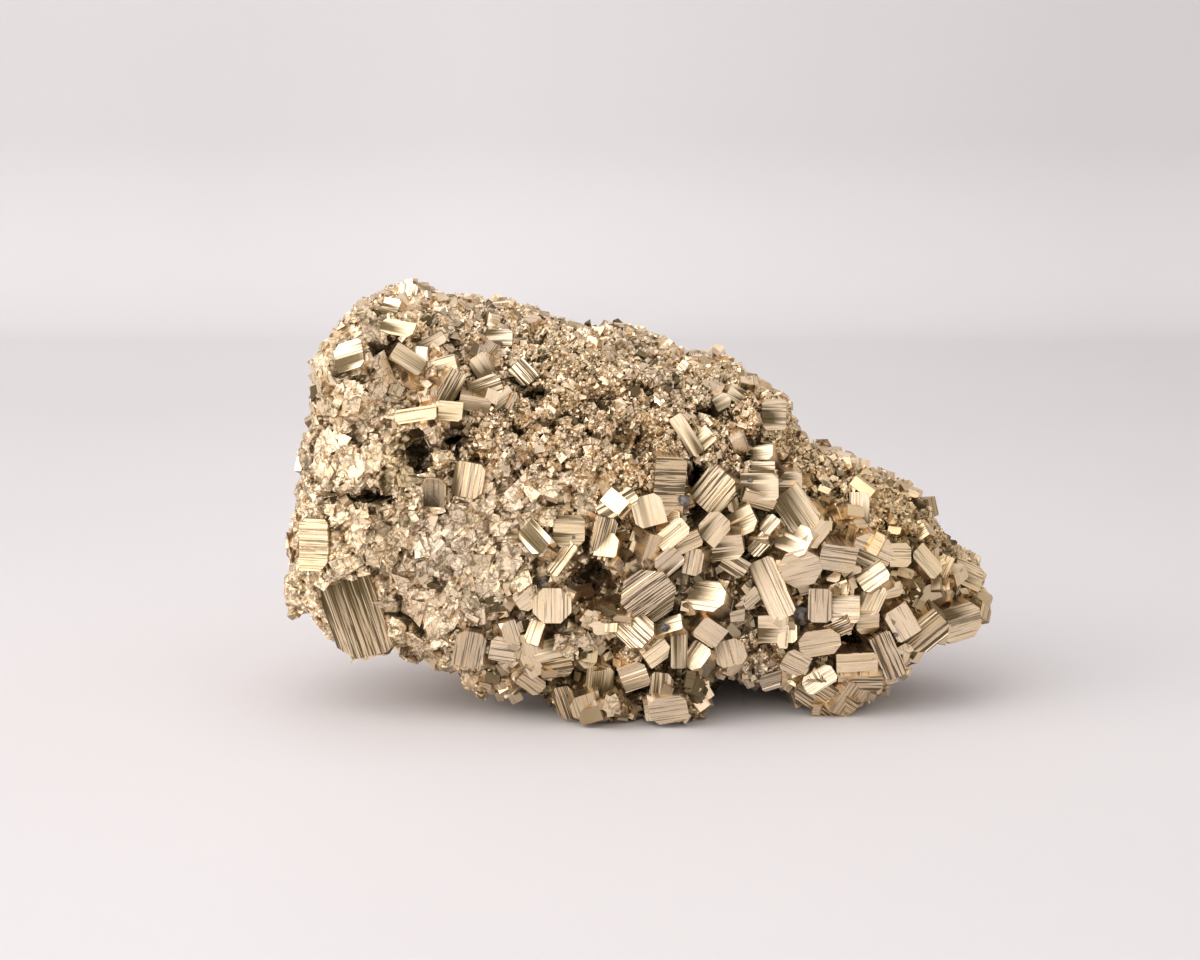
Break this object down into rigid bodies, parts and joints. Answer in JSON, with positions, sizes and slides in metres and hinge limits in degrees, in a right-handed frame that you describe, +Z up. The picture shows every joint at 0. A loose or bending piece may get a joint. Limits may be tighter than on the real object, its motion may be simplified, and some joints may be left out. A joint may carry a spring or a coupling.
{
  "type": "pyrite crystal specimen",
  "caption": "Hand-sized mineral specimen: a rough mass of fine-grained pyrite with striated cubic crystals grown over it, thick at one end and tapering to the other.",
  "frame": {"origin": "on the plane it rests on, under the middle of the bounding box", "axes": "+Z up; +X along the specimen from its thick end to its thin end; -Y towards its well crystallised side"},
  "size_m": [0.1001, 0.057, 0.0593],
  "materials": {
    "pyrite": "pale brassy metallic lustre, striated crystal faces, browner in the recesses"
  },
  "bodies": {
    "root": {"pyrite_cluster": "pyrite"}
  },
  "joints": []
}
